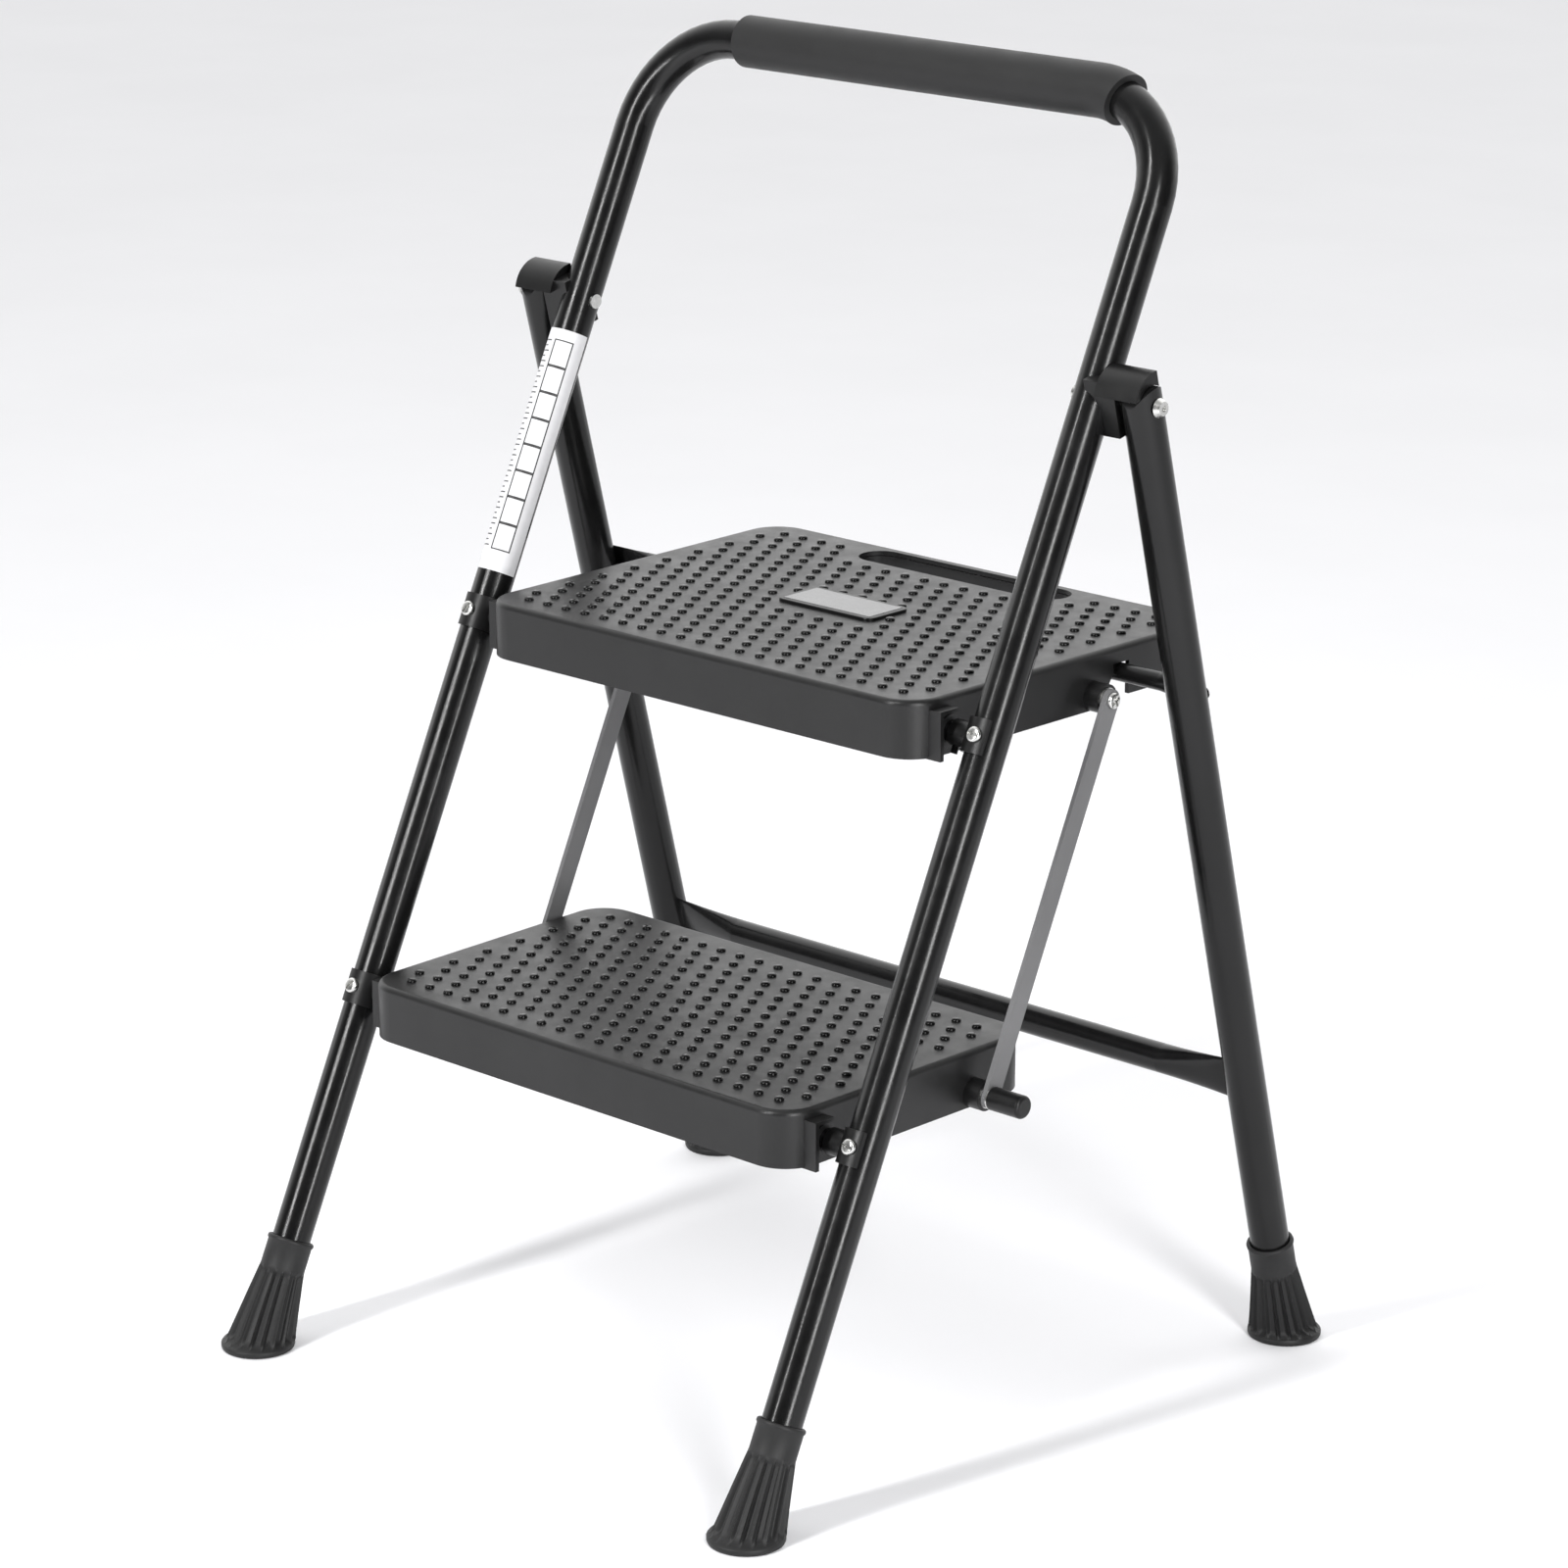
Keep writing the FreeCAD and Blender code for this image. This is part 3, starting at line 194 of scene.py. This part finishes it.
LOOKS = {
    PAINT: ["front_tube_frame", "upper_pivot_axle", "lower_pivot_axle", "rear_leg_left",
            "rear_leg_right", "rear_upper_crossbar", "rear_lower_crossbar"],
    LINK_PAINT: ["link_bar_left", "link_bar_right"],
    STEP: ["top_tread", "lower_tread"],
    FITTING: ["hinge_bracket_left", "hinge_bracket_right", "upper_pivot_saddle_left",
              "upper_pivot_saddle_right", "lower_pivot_saddle_left", "lower_pivot_saddle_right",
              "rod_cap_left", "rod_cap_right", "tread_badge"],
    BOOT: ["front_boot_left", "front_boot_right", "rear_boot_left", "rear_boot_right"],
    GRIP: ["handle_grip"],
    ZINC: ["hinge_bolts", "hinge_nuts", "pivot_screws", "crossbar_rivets", "link_screws", "link_rod",
           "upper_link_washers", "lower_link_washers"],
    PAPER: ["leg_label"],
}
for look, names in LOOKS.items():
    for name in names:
        cad = frame["nodes"][name]
        cad.data.materials.clear()
        cad.data.materials.append(look)


# ---------------------------------------------------------------- mesh helpers
def build(name, points, faces, look, smooth=True):
    """Makes one mesh piece with its look."""
    mesh = bpy.data.meshes.new(name)
    mesh.from_pydata([tuple(p) for p in points], [], faces)
    mesh.validate()
    mesh.update()
    for face in mesh.polygons:
        face.use_smooth = smooth
    made = bpy.data.objects.new(name, mesh)
    bpy.context.scene.collection.objects.link(made)
    mesh.materials.append(look)
    return made


def soft_edges(made, angle):
    """Shades corners sharper than the angle flat and the rest smooth."""
    made.data.set_sharp_from_angle(angle=math.radians(angle))
    return made


def angles(count):
    """Evenly spaced angles round a circle."""
    return [2 * math.pi * i / count for i in range(count)]


def rings(loops, points, faces, close_start=False, close_end=False):
    """Joins closed loops of the same length into a skin, adding to points and faces."""
    count = len(loops[0])
    first = len(points)
    for loop in loops:
        points.extend(loop)
    for level in range(len(loops) - 1):
        low = first + level * count
        for i in range(count):
            j = (i + 1) % count
            faces.append((low + i, low + j, low + count + j, low + count + i))
    if close_start:
        faces.append(tuple(reversed(range(first, first + count))))
    if close_end:
        last = first + (len(loops) - 1) * count
        faces.append(tuple(range(last, last + count)))


def middle(node):
    """The centre of a CAD node's box."""
    low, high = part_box(node)
    return (Vector(low) + Vector(high)) / 2


# ---------------------------------------------------------------- studs on the treads
ROW_PITCH = 15.1 * MM
STUD_PITCH = 17.05 * MM
FIRST_ROW = 19.8 * MM
TOP_ROWS = 17
LOWER_ROWS = 13
HALF_ROW = 10
ROW_REACH = 10.2 * STUD_PITCH
STUD_RADIUS = 3.2 * MM
STUD_HEIGHT = 1.7 * MM
STUD_SIDES = 14
STUD_CREASE = 50
# Shares of the radius and of the height, from the sunk foot to the top.
STUD_PROFILE = ((1.0, -0.3), (0.98, 0.45), (0.88, 0.82), (0.66, 1.0))
CORNER = 25 * MM
EDGE_MARGIN = 8 * MM
TREAD_HALF = 187 * MM


def in_outline(x, y, low, high):
    """Whether a stud fits inside the tread's rounded outline."""
    inset = CORNER - EDGE_MARGIN
    dx = abs(x) - (TREAD_HALF - CORNER)
    for edge in (low[1], high[1]):
        dy = CORNER - abs(y - edge)
        if dx > 0 and dy > 0 and math.hypot(dx, dy) > inset:
            return False
    return True


def stud_loops(x, y, top):
    """The rings of one stud, from its foot to its top."""
    loops = []
    for share, lift in STUD_PROFILE:
        reach = STUD_RADIUS * share
        z = top + STUD_HEIGHT * lift
        loops.append([Vector((x + reach * math.cos(a), y + reach * math.sin(a), z))
                      for a in angles(STUD_SIDES)])
    return loops


def studs(tread, body, rows, keep_off):
    """Rows of studs on a tread, every other row shifted by half a pitch, clear of some areas."""
    low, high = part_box(tread)
    top = high[2]
    points, faces = [], []
    for row in range(rows):
        y = low[1] + FIRST_ROW + row * ROW_PITCH
        shift = 0.5 if row % 2 == 0 else 0.0
        for step in range(-HALF_ROW, HALF_ROW + 1):
            x = (step + shift) * STUD_PITCH
            if abs(x) > ROW_REACH or not in_outline(x, y, low, high):
                continue
            if any(ax < x < bx and ay < y < by for ax, ay, bx, by in keep_off):
                continue
            rings(stud_loops(x, y, top), points, faces, close_end=True)
    # The studs take the darker stud plastic, whose darkness is painted shade.
    made = soft_edges(build(tread + "_studs", points, faces, STUD), STUD_CREASE)
    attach(made, body)


badge_low, badge_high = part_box("tread_badge")
top_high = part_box("top_tread")[1]
NEAR = 4 * MM
SLOT_HALF = 96 * MM
SLOT_FRONT = 40 * MM
studs("top_tread", "top_step", TOP_ROWS, [
    (badge_low[0] - NEAR, badge_low[1] - NEAR, badge_high[0] + NEAR, badge_high[1] + NEAR),
    (-SLOT_HALF, top_high[1] - SLOT_FRONT - NEAR, SLOT_HALF, top_high[1]),
])
studs("lower_tread", "lower_step", LOWER_ROWS, [])


# ---------------------------------------------------------------- panel on the badge
PANEL_INSET = 3.6 * MM
PANEL_SINK = 0.2 * MM
PANEL_EDGE = 0.1 * MM
PANEL_HEIGHT = 0.3 * MM
PANEL_BEVEL = 0.3 * MM


def badge_panel():
    """A blank lighter panel on the badge's dark plate."""
    top = badge_high[2]
    loops = []
    for inset, lift in ((0, -PANEL_SINK), (0, PANEL_EDGE), (PANEL_BEVEL, PANEL_HEIGHT)):
        grow = PANEL_INSET + inset
        x0, x1 = badge_low[0] + grow, badge_high[0] - grow
        y0, y1 = badge_low[1] + grow, badge_high[1] - grow
        loops.append([Vector((x, y, top + lift)) for x, y in ((x0, y0), (x1, y0), (x1, y1), (x0, y1))])
    points, faces = [], []
    rings(loops, points, faces, close_end=True)
    made = build("badge_panel", points, faces, BADGE, smooth=False)
    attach(made, "top_step")


badge_panel()


# ---------------------------------------------------------------- ribbed boots
RIBS = 18
AROUND = RIBS * 12
RIDGE_POWER = 5
GROOVE_TOP = 2.0 * MM
GROOVE_EXTRA = 1.6 * MM
GROOVE_FADE_IN = 13
GROOVE_FADE_OUT = 20
LIP = 5 * MM
FLARE_END = 52 * MM
FLARE_STEPS = 26
FLARE_START = 0.955
FLARE_TOP = 14.9 * MM
FLARE_POWER = 0.86
LEAST_TILT = 0.001
COLLAR_END = 72.5 * MM
TUBE_RADIUS = 12.7 * MM
BOOT_CREASE = 55
# Height above the floor, and share of the foot's radius.
SOLE_PROFILE = ((0, 0.93), (0.5 * MM, 0.98), (1.6 * MM, 1), (3.6 * MM, 1), (LIP - 0.6 * MM, 0.975))
# Distance along the leg and radius, up round the collar and down into the socket.
COLLAR_PROFILE = ((FLARE_END + 1.5 * MM, 14.7 * MM), (COLLAR_END - 3.0 * MM, 14.7 * MM),
                  (COLLAR_END - 2.2 * MM, 15.3 * MM), (COLLAR_END - 1.0 * MM, 15.5 * MM),
                  (COLLAR_END, 15.2 * MM), (COLLAR_END + 0.6 * MM, 14.4 * MM),
                  (COLLAR_END + 0.3 * MM, 13.2 * MM), (COLLAR_END - 1.5 * MM, TUBE_RADIUS + 0.15 * MM))


def boot(node, body, foot_edge, front):
    """A ribbed rubber boot: flat on the floor, with its socket leaning along the leg."""
    low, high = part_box(node)
    radius = (high[0] - low[0]) / 2
    foot = Vector(((low[0] + high[0]) / 2, foot_edge + (radius if front else -radius), 0))
    hinge = Vector(JOINTS["rear_fold"]["pos_m"])
    leg = Vector((0, hinge.y - foot.y, hinge.z)).normalized()
    lean = math.atan2(leg.y, leg.z)

    def loop(along, size, tilt, groove=0.0):
        turn = Matrix.Rotation(-lean * tilt, 3, "X")
        centre = foot + (leg * along if tilt > 0 else Vector((0, 0, along)))
        out = []
        for angle in angles(AROUND):
            ridge = (0.5 + 0.5 * math.cos(RIBS * angle)) ** RIDGE_POWER
            r = size - groove * (1 - ridge)
            out.append(centre + turn @ Vector((r * math.cos(angle), r * math.sin(angle), 0)))
        return out

    loops = [loop(up, radius * share, 0) for up, share in SOLE_PROFILE]
    start = radius * FLARE_START
    for k in range(FLARE_STEPS + 1):
        t = k / FLARE_STEPS
        along = LIP + (FLARE_END - LIP) * t
        size = start + (FLARE_TOP - start) * t ** FLARE_POWER
        fade = min(1, t * GROOVE_FADE_IN) * min(1, (1 - t) * GROOVE_FADE_OUT)
        groove = (GROOVE_TOP + GROOVE_EXTRA * (1 - t)) * fade
        loops.append(loop(along, size, max(t, LEAST_TILT), groove))
    loops += [loop(along, size, 1) for along, size in COLLAR_PROFILE]
    points, faces = [], []
    rings(loops, points, faces, close_start=True)
    made = soft_edges(build(node + "_ribbed", points, faces, BOOT), BOOT_CREASE)
    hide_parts(node)
    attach(made, body)


for side in ("left", "right"):
    boot("front_boot_" + side, "front_frame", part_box("front_boot_" + side)[0][1], True)
    boot("rear_boot_" + side, "rear_frame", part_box("rear_boot_" + side)[1][1], False)


# ---------------------------------------------------------------- screw heads
HEAD_AROUND = 72
HEAD_RINGS = 26
HEAD_CREASE = 40
RIM_SHARE = 0.35
DOME_POWER = 5.0
CUT_SHARE = 0.6
ARM_LENGTH = 0.74
ARM_WIDTH = 0.17
BOOT_RADIUS = 24 * MM
PIVOT_SEAT = 14.9 * MM
PIVOT_HEAD_RADIUS = 5.0 * MM
PIVOT_HEAD_HEIGHT = 3.0 * MM
PIVOT_TURN = 0.4
PIVOT_TURN_TO_SIDE = 0.5
LINK_HEAD_RADIUS = 5.25 * MM
LINK_HEAD_HEIGHT = 2.8 * MM
LINK_TURN = 0.35


def head(points, faces, seat, normal, radius, height, cut_turn, cross):
    """A domed head with a cross or a slot let into it."""
    side = normal.orthogonal().normalized()
    up = normal.cross(side)
    loops = [[seat + side * (radius * math.cos(a)) + up * (radius * math.sin(a))
              for a in angles(HEAD_AROUND)]]
    for k in range(HEAD_RINGS + 1):
        share = 1 - k / (HEAD_RINGS + 0.5)
        loop = []
        for angle in angles(HEAD_AROUND):
            x, y = share * math.cos(angle), share * math.sin(angle)
            lift = height * (RIM_SHARE + (1 - RIM_SHARE) * (1 - share ** DOME_POWER) ** 0.5)
            tx = x * math.cos(cut_turn) - y * math.sin(cut_turn)
            ty = x * math.sin(cut_turn) + y * math.cos(cut_turn)
            in_arm = abs(ty) < ARM_WIDTH and abs(tx) < ARM_LENGTH
            in_other = cross and abs(tx) < ARM_WIDTH and abs(ty) < ARM_LENGTH
            if in_arm or in_other:
                lift -= height * CUT_SHARE
            loop.append(seat + side * (x * radius) + up * (y * radius) + normal * lift)
        loops.append(loop)
    rings(loops, points, faces, close_end=True)


def heads(name, body, node, spots):
    """Heads that take the place of one CAD node."""
    points, faces = [], []
    for spot in spots:
        head(points, faces, *spot)
    made = soft_edges(build(name, points, faces, ZINC), HEAD_CREASE)
    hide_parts(node)
    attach(made, body)


hinge = Vector(JOINTS["rear_fold"]["pos_m"])
foot_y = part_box("front_boot_left")[0][1] + BOOT_RADIUS
leg = Vector((0, hinge.y - foot_y, hinge.z)).normalized()
front_normal = Vector((0, -leg.z, leg.y))
spots = []
for joint in ("top_step_fold", "lower_step_fold"):
    pivot = Vector(JOINTS[joint]["pos_m"])
    for label, side in SIDES:
        x = middle("front_boot_" + label)[0]
        seat = Vector((x, pivot.y, pivot.z)) + front_normal * PIVOT_SEAT
        turn = PIVOT_TURN + side * PIVOT_TURN_TO_SIDE
        spots.append((seat, front_normal, PIVOT_HEAD_RADIUS, PIVOT_HEAD_HEIGHT, turn, False))
heads("pivot_screw_heads", "front_frame", "pivot_screws", spots)

low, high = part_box("link_screws")
spots = []
for label, side in SIDES:
    outer = low[0] if side < 0 else high[0]
    seat = Vector((outer - side * LINK_HEAD_HEIGHT, (low[1] + high[1]) / 2, (low[2] + high[2]) / 2))
    spots.append((seat, Vector((side, 0, 0)), LINK_HEAD_RADIUS, LINK_HEAD_HEIGHT, LINK_TURN, True))
heads("link_screw_heads", "top_step", "link_screws", spots)


# ---------------------------------------------------------------- blank marks on the label
LABEL_LIFT = 0.36 * MM
LABEL_FOOT_MARGIN = 14 * MM
LABEL_TOP_MARGIN = 12 * MM
MARKS = 8
LINE_WIDTH = 0.9 * MM
FRAME_LEFT = math.radians(4)
FRAME_RIGHT = math.radians(64)
TICKS = 5
TICK_WIDTH = 0.8 * MM
TICK_START = math.radians(-48)
LONG_TICK_END = math.radians(-8)
SHORT_TICK_END = math.radians(-18)
CUT_ANGLE = 0.12


def label_marks():
    """Plain empty frames and ticks where the label's print would be."""
    low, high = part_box("leg_label")
    x = middle("front_boot_left")[0]
    start = (low[2] + LABEL_FOOT_MARGIN) / leg.z
    end = (high[2] - LABEL_TOP_MARGIN) / leg.z
    origin = Vector((x, foot_y, 0))
    points, faces = [], []

    def spot(along, angle):
        out = front_normal * math.cos(angle) + Vector((1, 0, 0)) * math.sin(angle)
        return origin + leg * along + out * (TUBE_RADIUS + LABEL_LIFT)

    def patch(a0, a1, s0, s1):
        cuts = max(2, int((a1 - a0) / CUT_ANGLE))
        first = len(points)
        for k in range(cuts + 1):
            angle = a0 + (a1 - a0) * k / cuts
            points.extend((spot(s0, angle), spot(s1, angle)))
        for k in range(cuts):
            a = first + 2 * k
            faces.append((a, a + 2, a + 3, a + 1))

    pitch = (end - start) / MARKS
    wide = LINE_WIDTH / TUBE_RADIUS
    for k in range(MARKS):
        s0 = start + k * pitch
        s1 = s0 + pitch
        patch(FRAME_LEFT, FRAME_RIGHT, s0, s0 + LINE_WIDTH)
        patch(FRAME_LEFT, FRAME_RIGHT, s1 - LINE_WIDTH, s1)
        patch(FRAME_LEFT, FRAME_LEFT + wide, s0, s1)
        patch(FRAME_RIGHT - wide, FRAME_RIGHT, s0, s1)
        for count in range(TICKS):
            at = s0 + pitch * (count + 0.5) / TICKS
            tick_end = SHORT_TICK_END if count % 2 else LONG_TICK_END
            patch(TICK_START, tick_end, at, at + TICK_WIDTH)
    made = build("label_marks", points, faces, INK)
    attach(made, "front_frame")


label_marks()


# ---------------------------------------------------------------- studio
FLOOR_HALF = 14.0
SUBJECT_HEIGHT = 0.5
STRIP_DISTANCE = 3.0
STRIP_LENGTH = 2.6
# Which way the dome brightens, seen from above: away from the viewer.
AWAY_X = -0.683
AWAY_Y = 0.730
BACK_START = -0.2
BACK_END = 0.7
OVERHEAD_START = 0.45
OVERHEAD_END = 0.85


def area(name, azimuth, elevation, wide, power):
    """A tall strip light aimed at the object, its azimuth counted like the camera's."""
    a, e = math.radians(azimuth), math.radians(elevation)
    data = bpy.data.lights.new(name, "AREA")
    data.shape = "RECTANGLE"
    data.size, data.size_y = wide, STRIP_LENGTH
    data.energy = power
    made = bpy.data.objects.new(name, data)
    made.location = (STRIP_DISTANCE * math.sin(a) * math.cos(e),
                     -STRIP_DISTANCE * math.cos(a) * math.cos(e),
                     SUBJECT_HEIGHT + STRIP_DISTANCE * math.sin(e))
    bpy.context.scene.collection.objects.link(made)
    made.rotation_mode = "QUATERNION"
    target = Vector((0, 0, SUBJECT_HEIGHT))
    made.rotation_quaternion = (target - made.location).to_track_quat("-Z", "Y")


def studio_sky(top, far, near):
    """A white dome: brightest behind the object, fairly bright overhead and dim behind the viewer."""
    world = bpy.data.worlds.new("studio")
    world.use_nodes = True
    bpy.context.scene.world = world
    tree = world.node_tree
    tree.nodes.clear()

    def math_node(kind, a, b):
        made = tree.nodes.new("ShaderNodeMath")
        made.operation = kind
        for socket, value in ((0, a), (1, b)):
            if isinstance(value, (int, float)):
                made.inputs[socket].default_value = value
            else:
                tree.links.new(value, made.inputs[socket])
        return made.outputs["Value"]

    def ramp(value, start, end, low, high):
        made = tree.nodes.new("ShaderNodeMapRange")
        made.interpolation_type = "SMOOTHSTEP"
        for key, number in (("From Min", start), ("From Max", end), ("To Min", low), ("To Max", high)):
            made.inputs[key].default_value = number
        tree.links.new(value, made.inputs["Value"])
        return made.outputs["Result"]

    place = tree.nodes.new("ShaderNodeTexCoord")
    split = tree.nodes.new("ShaderNodeSeparateXYZ")
    tree.links.new(place.outputs["Generated"], split.inputs["Vector"])
    back = math_node("ADD", math_node("MULTIPLY", split.outputs["X"], AWAY_X),
                     math_node("MULTIPLY", split.outputs["Y"], AWAY_Y))
    horizon = ramp(back, BACK_START, BACK_END, near, far)
    lift = ramp(split.outputs["Z"], OVERHEAD_START, OVERHEAD_END, 0.0, top)
    shade = tree.nodes.new("ShaderNodeBackground")
    tree.links.new(math_node("ADD", horizon, lift), shade.inputs["Strength"])
    shade.inputs["Color"].default_value = (1, 1, 1, 1)
    out = tree.nodes.new("ShaderNodeOutputWorld")
    tree.links.new(shade.outputs["Background"], out.inputs["Surface"])


mesh = bpy.data.meshes.new("floor")
corners = [(x * FLOOR_HALF, y * FLOOR_HALF, 0) for x, y in ((-1, -1), (1, -1), (1, 1), (-1, 1))]
mesh.from_pydata(corners, [], [(0, 1, 2, 3)])
floor = bpy.data.objects.new("floor", mesh)
bpy.context.scene.collection.objects.link(floor)
paper = Shader("backdrop_paper")
paper.tint(paper.noise(scale=3.0), grey(0.90), grey(0.92))
paper.set(Roughness=0.9)
mesh.materials.append(paper.material)

studio_sky(top=0.40, far=1.65, near=0.02)
area("strip_left", azimuth=-9, elevation=30, wide=0.26, power=88)
area("strip_right", azimuth=66, elevation=14, wide=0.42, power=84)
bpy.context.scene.view_settings.view_transform = "Standard"


# ---------------------------------------------------------------- camera, solved from the photograph
AZIMUTH = math.radians(43.05)
ELEVATION = math.radians(16.57)
SENSOR = 36.0
LENS = 119.02
CAMERA_PLACE = (2.1707, -2.2928, 1.3144)
FAR_CLIP = 60
camera_data = bpy.data.cameras.new("camera")
camera_data.sensor_width = SENSOR
camera_data.lens = LENS
camera_data.clip_end = FAR_CLIP
camera = bpy.data.objects.new("camera", camera_data)
camera.location = CAMERA_PLACE
behind = Vector((math.sin(AZIMUTH) * math.cos(ELEVATION), -math.cos(AZIMUTH) * math.cos(ELEVATION),
                 math.sin(ELEVATION)))
camera.rotation_mode = "QUATERNION"
camera.rotation_quaternion = (-behind).to_track_quat("-Z", "Y")
bpy.context.scene.collection.objects.link(camera)
bpy.context.scene.camera = camera
